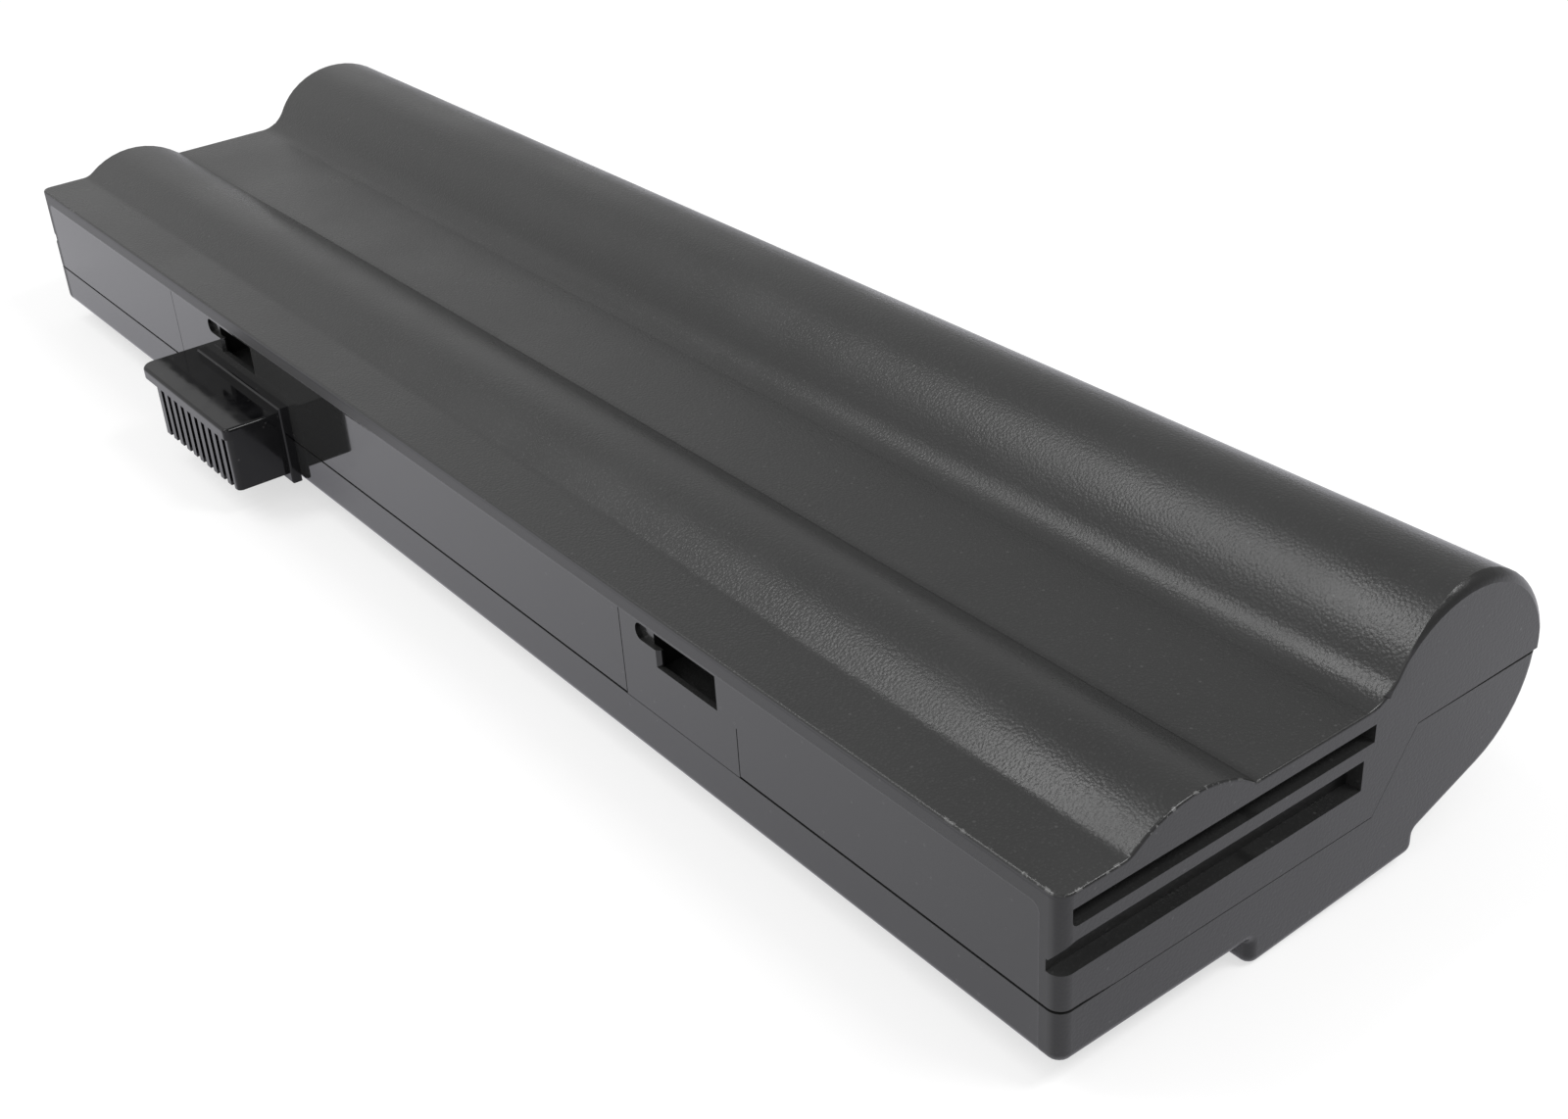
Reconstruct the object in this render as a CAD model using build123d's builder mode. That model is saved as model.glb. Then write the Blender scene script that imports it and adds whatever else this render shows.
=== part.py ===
# Laptop battery pack: a two-part moulded case that holds three rows of round cells, their
# welded strips and a control board, with a slotted connector standing out of the front wall.
# X runs along the pack, Y from the front wall to the rear barrel, and Z is up. The origin is
# under the middle of the pack, at the height of the foot that it rests on.

import os
from math import asin, atan2, cos, degrees, hypot, radians, sin, sqrt, tan

from build123d import *

os.makedirs("parts", exist_ok=True)

# Cells: three rows along the pack, with their positive ends towards +X
cell_diameter = 18.3
cell_length = 65.0
cell_edge = 0.6
button_diameter = 5.8
button_height = 1.2
neck_depth = 0.5
neck_width = 1.4
neck_from_shoulder = 2.2
columns = 4
joint_gap = 0.8
front_bay = 7.55
cell_lift = 0.55
row_gap = 3.45
middle_drop = 1.8
rear_lift = 6.2

# Case walls and outline
wall = 1.6
valley_gap = 1.75
crown_gap = 3.25
rear_slope = 21.0
crown_blend = 3.0
crown_crease = 0.8
barrel_blend = 5.6
corner_radius = 1.7
upper_rim = 0.35
lower_rim = 1.3
barrel_rim = 1.3
barrel_bow = 2.2
barrel_rim_angle = 75.0
rim_overrun = 4.0

# Foot along the underside
foot_before_rear_row = 5.5
foot_width = 28.0
foot_drop = 3.8
foot_tilt = 2.75
foot_edge = 1.5
foot_corner = 0.6

# Parting line, which steps up ahead of the rear barrel, and the tongue behind it
parting_height = 6.9
rear_parting_height = 16.4
step_start = 47.5
step_run = 6.5
seam_gap = 0.35
end_seam_gap = 0.1
rear_seam_gap = 0.3
seam_taper = (3.0, 8.0)
tongue_height = 1.5
fit_gap = 0.1

# Guide grooves in both ends
groove_depth = 2.0
groove_back = 1.3
groove_below_top = 2.05
upper_groove_start = 1.6
upper_groove_end = 46.5
upper_groove_height = 2.35
upper_groove_round = 0.8
groove_ridge = 1.75
lower_groove_end = 45.0
lower_groove_height = 4.0
lower_groove_round = 2.4

# Latch pockets in the front wall, undercut behind their lips, each with a shallow lead-in on its left
latch_from_link = (14.9, 7.2)
latch_width = 12.2
latch_below_top = 2.6
latch_height = 4.8
latch_depth = 6.0
latch_lip = 0.8
latch_slope = 0.5
latch_undercut = 1.2
latch_wall = 1.2
lead_in_length = 4.1
lead_in_height = 2.4
lead_in_depth = 0.7
lead_in_round = 1.1

# Fine lines up the front wall from the seam, which is closed between the last two
line_places = (-75.7, 59.3, 82.7)
line_tops = (19.6, 19.6, 14.0)
line_width = 0.15
line_depth = 0.15

# Cradle ribs in the lower case
rib_thickness = 1.2
rib_from_cell_end = 14.0
rib_below_parting = 0.5
rib_front_gap = 0.7

# Connector
slot_count = 10
slot_pitch = 2.62
slot_width = 1.3
slot_side = 1.5
slot_depth = 7.0
connector_from_link = 16.55
connector_bottom = 1.2
connector_height = 10.65
connector_reach = 10.3
cover_height = 1.8
cover_lip = 0.4
cover_wing = 5.5
cover_round = 2.4
cover_edge = 0.5
corner_edge = 0.9
collar_thickness = 1.6
collar_side = 1.4
collar_rise = 1.2
collar_edge = 0.3
neck_side = 1.2
neck_rise = 1.5
neck_height = 8.1
flange_thickness = 1.2
flange_rise = 0.9

# Connector contacts
contact_thickness = 0.6
contact_height = 3.6
contact_rise = 2.6
fork_width = 1.0
fork_mouth = 0.4
fork_length = 4.2

# Control board and its parts
board_thickness = 1.0
board_lift = 0.6
board_top_gap = 0.8
board_from_flange = 1.6
board_past_links = 6.2
post_length = 3.5
post_side = 1.2
post_height = 4.8
chip_size = (9.0, 1.4, 6.0)
chip_place = 20.0
transistor_size = (5.0, 1.6, 6.0)
transistor_places = (-28.0, -20.0)
fuse_size = (6.2, 1.8, 4.0)
fuse_from_board_end = 22.0
resistor_size = (6.4, 0.7, 3.2)
resistor_place = -9.0
thermistor_diameter = 2.4
thermistor_place = 36.0

# Welded strips, papers and foam
strip_thickness = 0.15
strip_width = 8.0
tab_height = 3.0
tab_low = 7.6
lead_overlap = 5.0
end_paper_thickness = 0.25
end_paper_width = 14.0
end_play = 0.1
board_paper_thickness = 0.25
board_paper_top_gap = 0.6
board_paper_past_board = 8.0
paper_notch_side = 0.4
pad_length = 200.0
pad_width = 10.0
pad_gap = 0.1

# Values that follow from the sizes above
cell_radius = cell_diameter / 2
crown_radius = cell_radius + crown_gap + wall
front_row = (wall + front_bay + cell_radius, wall + cell_lift + cell_radius)
middle_row = (front_row[0] + cell_diameter + row_gap, front_row[1] - middle_drop)
rear_row = (middle_row[0] + cell_diameter + row_gap, front_row[1] + rear_lift)
rows = {"a": front_row, "b": middle_row, "c": rear_row}
front_height = middle_row[1] + cell_radius + valley_gap + wall

column_pitch = cell_length + joint_gap
stack_length = columns * cell_length + (columns - 1) * joint_gap
end_wall = groove_depth + groove_back
case_length = stack_length + 2 * (strip_thickness + end_paper_thickness + end_play + end_wall)
case_depth = rear_row[0] + crown_radius
half_length = case_length / 2
link_places = [-stack_length / 2 + i * column_pitch - joint_gap / 2 for i in range(1, columns)]

front_y = (connector_reach - case_depth) / 2
base_z = foot_drop

upper_groove_low = front_height - groove_below_top - upper_groove_height
lower_groove_low = upper_groove_low - groove_ridge - lower_groove_height
latch_low = front_height - latch_below_top - latch_height
latch_box_low = latch_low - latch_undercut - latch_wall
latch_places = (link_places[0] + latch_from_link[0], link_places[-1] + latch_from_link[1])

connector_middle = link_places[0] + connector_from_link
connector_width = (slot_count - 1) * slot_pitch + slot_width + 2 * slot_side
connector_left = connector_middle - connector_width / 2
connector_right = connector_middle + connector_width / 2
connector_top = connector_bottom + connector_height
slot_places = [connector_left + slot_side + slot_width / 2 + i * slot_pitch for i in range(slot_count)]
neck_low = connector_bottom + neck_rise
flange_back = wall + fit_gap + flange_thickness
contact_low = connector_bottom + contact_rise

board_front = flange_back + board_from_flange
board_back = board_front + board_thickness
board_bottom = wall + board_lift
board_top = latch_box_low - board_top_gap
board_half = -link_places[0] + board_past_links
board_middle_z = (board_bottom + board_top) / 2


def at(x, y, z):
    """Point of the part's frame for a place given from the front wall and the flat underside."""
    return (x, front_y + y, base_z + z)


def section_plane(x):
    """Plane across the pack, in which a sketch's own axes are depth and height."""
    return Plane(origin=at(x, 0, 0), x_dir=(0, 1, 0), z_dir=(1, 0, 0))


def front_plane(y):
    """Plane along the pack that faces forwards, in which a sketch's axes are length and height."""
    return Plane(origin=at(0, y, 0), x_dir=(1, 0, 0), z_dir=(0, -1, 0))


def plan_plane(z):
    """Level plane, in which a sketch's axes are length and depth."""
    return Plane(origin=at(0, 0, z), x_dir=(1, 0, 0), z_dir=(0, 0, 1))


def block(x, y, z, mode=Mode.ADD):
    """Box in the open part, from its ranges in length, depth and height."""
    with Locations(at(sum(x) / 2, sum(y) / 2, sum(z) / 2)):
        Box(x[1] - x[0], y[1] - y[0], z[1] - z[0], mode=mode)


def around(middle, width):
    """Range of a given width about a middle."""
    return (middle - width / 2, middle + width / 2)


def parting_line(front, middle, rear):
    """Points along the parting line, raised by its gaps at the front, along the ends and at the rear."""
    return [
        (-case_depth, parting_height + front),
        (seam_taper[0], parting_height + front),
        (seam_taper[1], parting_height + middle),
        (step_start, parting_height + middle),
        (step_start + step_run, rear_parting_height + middle),
        (case_depth, rear_parting_height + rear),
        (2 * case_depth, rear_parting_height + rear),
    ]


def band_between(lower_line, upper_line):
    """Sketch of the band between two such lines."""
    with BuildSketch(section_plane(-case_length)) as band:
        with BuildLine():
            Polyline(*lower_line, *reversed(upper_line), close=True)
        make_face()
    return band


def parting_band(low, high):
    """Sketch of the band between the parting line raised by low and raised by high."""
    return band_between(parting_line(low, low, low), parting_line(high, high, high))


def inset_outline(inset, x):
    """Sketch of the case's section at x, drawn in by inset."""
    with BuildSketch(section_plane(x)) as inner:
        add(case_outline.sketch_local)
        offset(amount=-inset, mode=Mode.REPLACE)
    return inner


# Section of the case: front wall, front crown, valley, rear barrel, sloping underside and foot
front_chord = sqrt(crown_radius**2 - (front_height - front_row[1]) ** 2)
barrel_chord = sqrt(crown_radius**2 - (front_height - rear_row[1]) ** 2)
crown_start = (front_row[0] - front_chord, front_height)
crown_top = (front_row[0], front_row[1] + crown_radius)
crown_end = (front_row[0] + front_chord, front_height)
barrel_start = (rear_row[0] - barrel_chord, front_height)
barrel_rear = (case_depth, rear_row[1])
barrel_end = (
    rear_row[0] + crown_radius * sin(radians(rear_slope)),
    rear_row[1] - crown_radius * cos(radians(rear_slope)),
)
foot_end = rear_row[0] - foot_before_rear_row
foot_start = foot_end - foot_width
foot_heel = (foot_end, barrel_end[1] - (barrel_end[0] - foot_end) * tan(radians(rear_slope)))
edge_sink = foot_edge * (tan(radians(foot_tilt)) + 1 / cos(radians(foot_tilt)) - 1)
foot_toe = (foot_start, -foot_drop - edge_sink)
foot_back_edge = (foot_end, foot_toe[1] + foot_width * tan(radians(foot_tilt)))

with BuildSketch(section_plane(-half_length)) as case_outline:
    with BuildLine():
        Polyline((0, 0), (0, front_height), crown_start)
        ThreePointArc(crown_start, crown_top, crown_end)
        Line(crown_end, barrel_start)
        ThreePointArc(barrel_start, barrel_rear, barrel_end)
        Polyline(barrel_end, foot_heel, foot_back_edge, foot_toe, (foot_start, 0), (0, 0))
    make_face()
    for place, radius in (
        (crown_start, crown_blend),
        (crown_end, crown_crease),
        (barrel_start, barrel_blend),
        (foot_heel, foot_corner),
        (foot_back_edge, foot_edge),
        (foot_toe, foot_edge),
        ((foot_start, 0), foot_corner),
    ):
        fillet(case_outline.vertices().sort_by_distance(place)[0], radius)


def closed_case(rim):
    """Closed outer form of the case, with the edges of its ends and of its front rounded by rim."""
    with BuildPart() as form:
        extrude(case_outline.sketch, amount=case_length)
        fillet(form.edges().filter_by(Axis.Z).group_by(Axis.Y)[0], corner_radius)
        front_face = form.faces().filter_by(Axis.Y).sort_by(Axis.Y)[:1]
        flat_faces = form.faces().filter_by(Axis.X) + front_face
        corner_arcs = form.edges().filter_by(GeomType.CIRCLE).filter_by(
            lambda edge: abs(edge.tangent_at(0.5).Z) < 1e-6 and edge.center().Y < front_y + corner_radius
        )
        corner_seams = form.edges().filter_by(Axis.Z).filter_by(
            lambda edge: edge.center().Y < front_y + corner_radius + fit_gap
        )
        fillet(flat_faces.edges() - corner_seams + corner_arcs, rim)
    return form.part


# Space inside the case, less the backs of the guide grooves and the boxes of the latch pockets
groove_zone = (lower_groove_low - groove_back, upper_groove_low + upper_groove_height + groove_back)
with BuildPart() as case_space:
    extrude(inset_outline(wall, -half_length + wall).sketch, amount=case_length - 2 * wall)
    for side in (-1, 1):
        back = sorted((side * (half_length - end_wall), side * half_length))
        block(back, (0, upper_groove_end + groove_back), groove_zone, mode=Mode.SUBTRACT)
    for place in latch_places:
        block(
            around(place, latch_width + 2 * (latch_undercut + latch_wall)),
            (0, latch_depth + latch_wall),
            (latch_box_low, front_height),
            mode=Mode.SUBTRACT,
        )

# Guide grooves, of which the lower narrows to a mouth in the corner of the front wall
groove_top = lower_groove_low + lower_groove_height
with BuildSketch(section_plane(0)) as upper_groove:
    with Locations((upper_groove_start, upper_groove_low)):
        Rectangle(upper_groove_end - upper_groove_start, upper_groove_height, align=(Align.MIN, Align.MIN))
    fillet(upper_groove.vertices().group_by(Axis.X)[0].sort_by(Axis.Y)[0], upper_groove_round)
with BuildSketch(section_plane(0)) as lower_groove:
    with BuildLine():
        bend = lower_groove_round * (1 - sqrt(0.5))
        mouth_top = groove_top - lower_groove_round
        ThreePointArc((lower_groove_round, groove_top), (bend, groove_top - bend), (0, mouth_top))
        Polyline(
            (0, mouth_top),
            (-wall, mouth_top),
            (-wall, lower_groove_low),
            (lower_groove_end, lower_groove_low),
            (lower_groove_end, groove_top),
            (lower_groove_round, groove_top),
        )
    make_face()

# Window in the front wall for the connector's neck
neck_range = (connector_left + neck_side, connector_right - neck_side)
window_x = (neck_range[0] - fit_gap, neck_range[1] + fit_gap)
window_z = (neck_low - fit_gap, neck_low + neck_height + fit_gap)

# Rounding of the barrel's end edges, deepest near its top and running out before the valley
blend_height = front_height + barrel_blend - rear_row[1]
run_out = 180 - degrees(asin(blend_height / (crown_radius + barrel_blend))) - barrel_rim_angle
rim_shift = barrel_rim / (1 - cos(radians(run_out)))
rim_axis = (
    rear_row[0] - rim_shift * cos(radians(barrel_rim_angle)),
    rear_row[1] - rim_shift * sin(radians(barrel_rim_angle)),
)
rim_reach = crown_radius + rim_shift
rim_start = radians(barrel_rim_angle - run_out - rim_overrun)
bow_place = (barrel_rim + sqrt(2 * barrel_bow**2 - barrel_rim**2)) / 2
with BuildPart() as barrel_rounding:
    for side in (-1, 1):
        rim_plane = Plane(
            origin=at(side * half_length, *rim_axis),
            x_dir=(1, 0, 0),
            z_dir=(0, -sin(rim_start), cos(rim_start)),
        )
        with BuildSketch(rim_plane):
            with Locations((0, rim_reach)):
                Rectangle(2 * bow_place, 2 * bow_place)
            with Locations((-side * bow_place, rim_reach - bow_place)):
                Circle(barrel_bow, mode=Mode.SUBTRACT)
        revolve(axis=Axis(at(0, *rim_axis), (1, 0, 0)), revolution_arc=2 * (run_out + rim_overrun))

# Upper case: both crowns, the guide grooves and the latch pockets
with BuildPart() as upper_case:
    add(closed_case(upper_rim))
    add(case_space.part, mode=Mode.SUBTRACT)
    add(barrel_rounding.part, mode=Mode.SUBTRACT)
    seam = parting_line(seam_gap, end_seam_gap, rear_seam_gap)
    below = parting_line(-case_depth, -case_depth, -case_depth)
    extrude(band_between(below, seam).sketch, amount=2 * case_length, mode=Mode.SUBTRACT)
    block(line_places[1:], (0, wall / 2), (parting_height + end_seam_gap, parting_height + 2 * seam_gap))
    with BuildSketch(section_plane(-half_length + wall / 2)):
        add(inset_outline(wall / 2, 0).sketch_local)
        add(parting_band(0, tongue_height).sketch_local, mode=Mode.INTERSECT)
    extrude(amount=case_length - wall, mode=Mode.SUBTRACT)
    for side in (-1, 1):
        with BuildSketch(section_plane(side * (half_length - groove_depth))):
            add(upper_groove.sketch_local)
            add(lower_groove.sketch_local)
        extrude(amount=side * 2 * groove_depth, mode=Mode.SUBTRACT)
    latch_top = latch_low + latch_height
    for place in latch_places:
        latch_left, latch_right = around(place, latch_width)
        with BuildSketch(plan_plane(latch_low)):
            with BuildLine():
                Polyline(
                    (latch_left, -wall),
                    (latch_right, -wall),
                    (latch_right, latch_lip),
                    (latch_left + latch_slope, latch_lip),
                    (latch_left + latch_slope, latch_slope),
                    (latch_left, 0),
                    close=True,
                )
            make_face()
        extrude(amount=latch_height, mode=Mode.SUBTRACT)
        block(
            around(place, latch_width + 2 * latch_undercut),
            (latch_lip, latch_depth),
            (latch_low - latch_undercut, latch_top),
            mode=Mode.SUBTRACT,
        )
        block(
            (latch_left - latch_undercut, place),
            (-wall, latch_depth),
            (latch_top - lead_in_height, latch_top),
            mode=Mode.SUBTRACT,
        )
        with BuildSketch(front_plane(0)) as lead_in:
            with Locations((latch_left - lead_in_length, latch_top - lead_in_height)):
                Rectangle(lead_in_length + wall, lead_in_height, align=(Align.MIN, Align.MIN))
            fillet(lead_in.vertices().group_by(Axis.X)[0], lead_in_round)
        extrude(amount=-lead_in_depth, mode=Mode.SUBTRACT)
    for place, line_top in zip(line_places, line_tops):
        block(around(place, line_width), (-wall, line_depth), (parting_height, line_top), mode=Mode.SUBTRACT)
    block(window_x, (-wall, 2 * wall), window_z, mode=Mode.SUBTRACT)
upper_case.part.label = "upper_case"
export_step(upper_case.part, "parts/upper_case.step")

# Tongue along the rim of the lower case, which reaches up behind the wall of the upper case
with BuildPart() as rim_tongue:
    with BuildSketch(section_plane(-half_length + wall / 2 + fit_gap)):
        add(inset_outline(wall / 2 + fit_gap, 0).sketch_local)
        add(parting_band(-fit_gap, tongue_height).sketch_local, mode=Mode.INTERSECT)
    extrude(amount=case_length - wall - 2 * fit_gap)
    add(case_space.part, mode=Mode.SUBTRACT)

# Cradle ribs, two under each cell
rib_places = [
    -stack_length / 2 + i * column_pitch + offset_x - rib_thickness / 2
    for i in range(columns)
    for offset_x in (rib_from_cell_end, cell_length - rib_from_cell_end)
]
rib_front = front_row[0] - cell_radius + rib_front_gap
with BuildSketch(*[section_plane(x) for x in rib_places]) as ribs:
    add(inset_outline(wall / 2, 0).sketch_local)
    add(parting_band(-case_depth, -rib_below_parting).sketch_local, mode=Mode.INTERSECT)
    with Locations((rib_front, 0)):
        Rectangle(
            2 * case_depth, 2 * case_depth, align=(Align.MIN, Align.CENTER), mode=Mode.INTERSECT
        )
    with Locations(*rows.values()):
        Circle(cell_radius + fit_gap, mode=Mode.SUBTRACT)

# Lower case: the floor with its foot, the rear underside, the ribs and the posts for the board
with BuildPart() as lower_case:
    add(closed_case(lower_rim))
    add(case_space.part, mode=Mode.SUBTRACT)
    extrude(parting_band(0, case_depth).sketch, amount=2 * case_length, mode=Mode.SUBTRACT)
    add(rim_tongue.part)
    extrude(ribs.sketch, amount=rib_thickness)
    post_y = (board_front - fit_gap - post_side, board_back + fit_gap + post_side)
    for side in (-1, 1):
        post_x = sorted((side * (board_half - post_length), side * (board_half + post_side)))
        slot_x = sorted((side * (board_half - 2 * post_length), side * (board_half + fit_gap)))
        block(post_x, post_y, (wall / 2, wall + post_height))
        block(
            slot_x,
            (board_front - fit_gap, board_back + fit_gap),
            (board_bottom, wall + 2 * post_height),
            mode=Mode.SUBTRACT,
        )
    block(window_x, (-wall, 2 * wall), window_z, mode=Mode.SUBTRACT)
lower_case.part.label = "lower_case"
export_step(lower_case.part, "parts/lower_case.step")

# Collar of the connector, which lies against the front wall
with BuildPart() as collar:
    collar_x = (connector_left - collar_side, connector_right + collar_side)
    collar_z = (connector_bottom - collar_rise, connector_top + collar_rise)
    block(collar_x, (-collar_thickness, 0), collar_z)
    fillet(collar.faces().sort_by(Axis.Y)[0].edges(), collar_edge)

# Connector housing: a slotted block under a wider cover, held by the wall between collar and flange
with BuildPart() as connector_housing:
    body_front = -connector_reach + cover_lip
    cover_low = connector_top - cover_height
    with BuildSketch(plan_plane(connector_bottom)) as body_plan:
        with Locations((connector_right, 0)):
            Rectangle(connector_width, -body_front, align=(Align.MAX, Align.MAX))
        fillet(body_plan.vertices().group_by(Axis.Y)[0].sort_by(Axis.X)[-1], corner_edge)
    extrude(amount=connector_height - cover_height)
    with BuildSketch(plan_plane(cover_low)) as cover_plan:
        with Locations((connector_right, 0)):
            Rectangle(connector_width + cover_wing, connector_reach, align=(Align.MAX, Align.MAX))
        fillet(cover_plan.vertices().group_by(Axis.Y)[0].sort_by(Axis.X)[-1], corner_edge)
        fillet(cover_plan.vertices().group_by(Axis.Y)[0].sort_by(Axis.X)[0], cover_round)
    extrude(amount=cover_height)
    cover_top = connector_housing.faces().sort_by(Axis.Z)[-1]
    fillet(cover_top.edges() - cover_top.edges().group_by(Axis.Y)[-1], cover_edge)
    for place in slot_places:
        block(
            around(place, slot_width),
            (-connector_reach, body_front + slot_depth),
            (connector_bottom - wall, cover_low - cover_edge),
            mode=Mode.SUBTRACT,
        )
    add(collar.part)
    block(neck_range, (-collar_thickness, flange_back), (neck_low, neck_low + neck_height))
    flange_x = (neck_range[0] - flange_rise, neck_range[1] + flange_rise)
    flange_z = (wall + fit_gap, neck_low + neck_height + flange_rise)
    block(flange_x, (wall + fit_gap, flange_back), flange_z)
    for place in slot_places:
        block(
            around(place, contact_thickness + 2 * fit_gap),
            (body_front + slot_depth - fit_gap, flange_back + wall),
            (contact_low - fit_gap, contact_low + contact_height + fit_gap),
            mode=Mode.SUBTRACT,
        )
connector_housing.part.label = "connector_housing"
export_step(connector_housing.part, "parts/connector_housing.step")

# Contacts: a fork in each slot, on a tail that is soldered to the board
fork_root = body_front + slot_depth - 2 * fit_gap
for number, place in enumerate(slot_places, start=1):
    with BuildPart() as contact:
        with BuildSketch(plan_plane(contact_low)):
            with Locations((place, fork_root)):
                Rectangle(contact_thickness, board_front - fork_root, align=(Align.CENTER, Align.MIN))
                Rectangle(fork_width, fork_length, align=(Align.CENTER, Align.MAX))
            with Locations((place, fork_root - contact_thickness)):
                Rectangle(fork_mouth, fork_length, align=(Align.CENTER, Align.MAX), mode=Mode.SUBTRACT)
        extrude(amount=contact_height)
    contact.part.label = f"contact_{number:02d}"
    export_step(contact.part, f"parts/{contact.part.label}.step")

# Cells: a can with a rolled neck and a raised positive button, each sealed and solid
for row, (row_y, row_z) in rows.items():
    for column in range(columns):
        start = -stack_length / 2 + column * column_pitch
        shoulder = cell_length - button_height
        neck_end = shoulder - neck_from_shoulder
        neck_start = neck_end - neck_width
        with BuildPart() as cell:
            with BuildSketch(Plane(origin=at(start, row_y, row_z), x_dir=(1, 0, 0), z_dir=(0, -1, 0))):
                with BuildLine():
                    Polyline(
                        (0, 0),
                        (0, cell_radius - cell_edge),
                        (cell_edge, cell_radius),
                        (neck_start, cell_radius),
                        ((neck_start + neck_end) / 2, cell_radius - neck_depth),
                        (neck_end, cell_radius),
                        (shoulder - cell_edge, cell_radius),
                        (shoulder, cell_radius - cell_edge),
                        (shoulder, button_diameter / 2),
                        (cell_length, button_diameter / 2),
                        (cell_length, 0),
                        close=True,
                    )
                make_face()
            revolve(axis=Axis(at(start, row_y, row_z), (1, 0, 0)))
        cell.part.label = f"cell_{row}{column + 1}"
        export_step(cell.part, f"parts/{cell.part.label}.step")


def strip_outline(x, width):
    """Sketch of a band of the given width that joins the cell ends of the three rows, at x."""
    places = list(rows.values())
    with BuildSketch(section_plane(x)) as band:
        for (near_y, near_z), (far_y, far_z) in zip(places, places[1:]):
            run = hypot(far_y - near_y, far_z - near_z)
            turn = degrees(atan2(far_z - near_z, far_y - near_y))
            with Locations(((near_y + far_y) / 2, (near_z + far_z) / 2)):
                SlotCenterToCenter(run, width, rotation=turn)
    return band


tab_z = (tab_low, tab_low + tab_height)

# Link strips: two welded plates between neighbouring columns, folded where their tab meets the board
for number, place in enumerate(link_places, start=1):
    plate_x = around(place, joint_gap)
    with BuildPart() as link:
        extrude(strip_outline(plate_x[0], strip_width).sketch, amount=joint_gap)
        block(plate_x, (board_back, front_row[0]), tab_z)
        block(
            around(place, joint_gap - 2 * strip_thickness),
            (board_back + strip_thickness, case_depth),
            (0, front_height + rear_lift),
            mode=Mode.SUBTRACT,
        )
    link.part.label = f"strip_link_{number}"
    export_step(link.part, f"parts/{link.part.label}.step")

# End strips: one plate across the end of each row, with a lead that runs along to the board
for name, side in (("strip_negative", -1), ("strip_positive", 1)):
    plate_x = sorted((side * stack_length / 2, side * (stack_length / 2 + strip_thickness)))
    lead_x = sorted((side * (board_half - lead_overlap), side * (stack_length / 2 + strip_thickness)))
    with BuildPart() as end_strip:
        extrude(strip_outline(plate_x[0], strip_width).sketch, amount=strip_thickness)
        block(plate_x, (board_back, front_row[0]), tab_z)
        block(lead_x, (board_back, board_back + strip_thickness), tab_z)
    end_strip.part.label = name
    export_step(end_strip.part, f"parts/{name}.step")

# End papers between the end strips and the case
for name, side in (("end_paper_left", -1), ("end_paper_right", 1)):
    inner_x = stack_length / 2 + strip_thickness
    paper_x = sorted((side * inner_x, side * (inner_x + end_paper_thickness)))
    with BuildPart() as end_paper:
        extrude(strip_outline(paper_x[0], end_paper_width).sketch, amount=end_paper_thickness)
    end_paper.part.label = name
    export_step(end_paper.part, f"parts/{name}.step")

# Control board, standing on edge in the posts
with BuildPart() as control_board:
    block((-board_half, board_half), (board_front, board_back), (board_bottom, board_top))
control_board.part.label = "control_board"
export_step(control_board.part, "parts/control_board.step")

# Parts on the back of the board
board_parts = [
    ("controller_chip", chip_size, chip_place),
    ("switch_transistor_1", transistor_size, transistor_places[0]),
    ("switch_transistor_2", transistor_size, transistor_places[1]),
    ("fuse_link", fuse_size, board_half - fuse_from_board_end),
    ("sense_resistor", resistor_size, resistor_place),
]
for name, (length, rise, height), place in board_parts:
    with BuildPart() as board_part:
        block(around(place, length), (board_back, board_back + rise), around(board_middle_z, height))
        top_face = board_part.faces().sort_by(Axis.Y)[-1]
        chamfer(top_face.edges(), rise / 4)
    board_part.part.label = name
    export_step(board_part.part, f"parts/{name}.step")

# Paper between the board and the front row of cells, notched for the tabs of the links
paper_back = front_row[0] - cell_radius - fit_gap
paper_y = (paper_back - board_paper_thickness, paper_back)
paper_half = board_half + board_paper_past_board
paper_top = front_height - wall - board_paper_top_gap
with BuildPart() as board_paper:
    block((-paper_half, paper_half), paper_y, (wall, paper_top))
    for place in link_places:
        block(
            around(place, joint_gap + 2 * paper_notch_side),
            (0, front_row[0]),
            (tab_low - paper_notch_side, front_height),
            mode=Mode.SUBTRACT,
        )
board_paper.part.label = "board_paper"
export_step(board_paper.part, "parts/board_paper.step")

# Thermistor, a round bead between the board and the paper over a cell
with BuildPart() as thermistor:
    with BuildSketch(front_plane(board_back)):
        with Locations((thermistor_place, front_row[1])):
            Circle(thermistor_diameter / 2)
    extrude(amount=board_back - paper_y[0] + fit_gap)
    chamfer(thermistor.faces().sort_by(Axis.Y)[-1].edges(), thermistor_diameter / 4)
thermistor.part.label = "thermistor"
export_step(thermistor.part, "parts/thermistor.step")

# Foam pads that hold each row down under the upper case
pad_ceiling = front_height - wall - pad_gap
for row, (row_y, row_z) in rows.items():
    with BuildPart() as foam_pad:
        with BuildSketch(section_plane(-pad_length / 2)):
            with Locations((row_y, row_z)):
                Rectangle(pad_width, 2 * crown_radius, align=(Align.CENTER, Align.MIN))
                if row == "b":
                    Rectangle(
                        pad_width, pad_ceiling - row_z, align=(Align.CENTER, Align.MIN), mode=Mode.INTERSECT
                    )
                else:
                    Circle(crown_radius - wall - pad_gap, mode=Mode.INTERSECT)
                Circle(cell_radius + pad_gap, mode=Mode.SUBTRACT)
        extrude(amount=pad_length)
    foam_pad.part.label = f"foam_pad_{row}"
    export_step(foam_pad.part, f"parts/{foam_pad.part.label}.step")
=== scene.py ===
"""Finishes and studio of a laptop battery pack, laid out as a Blender add-on.

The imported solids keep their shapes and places. One operator for each group of like pieces gives
them their finish, and a last one sets up the floor, the lights and the camera.
"""

from math import radians

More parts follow.
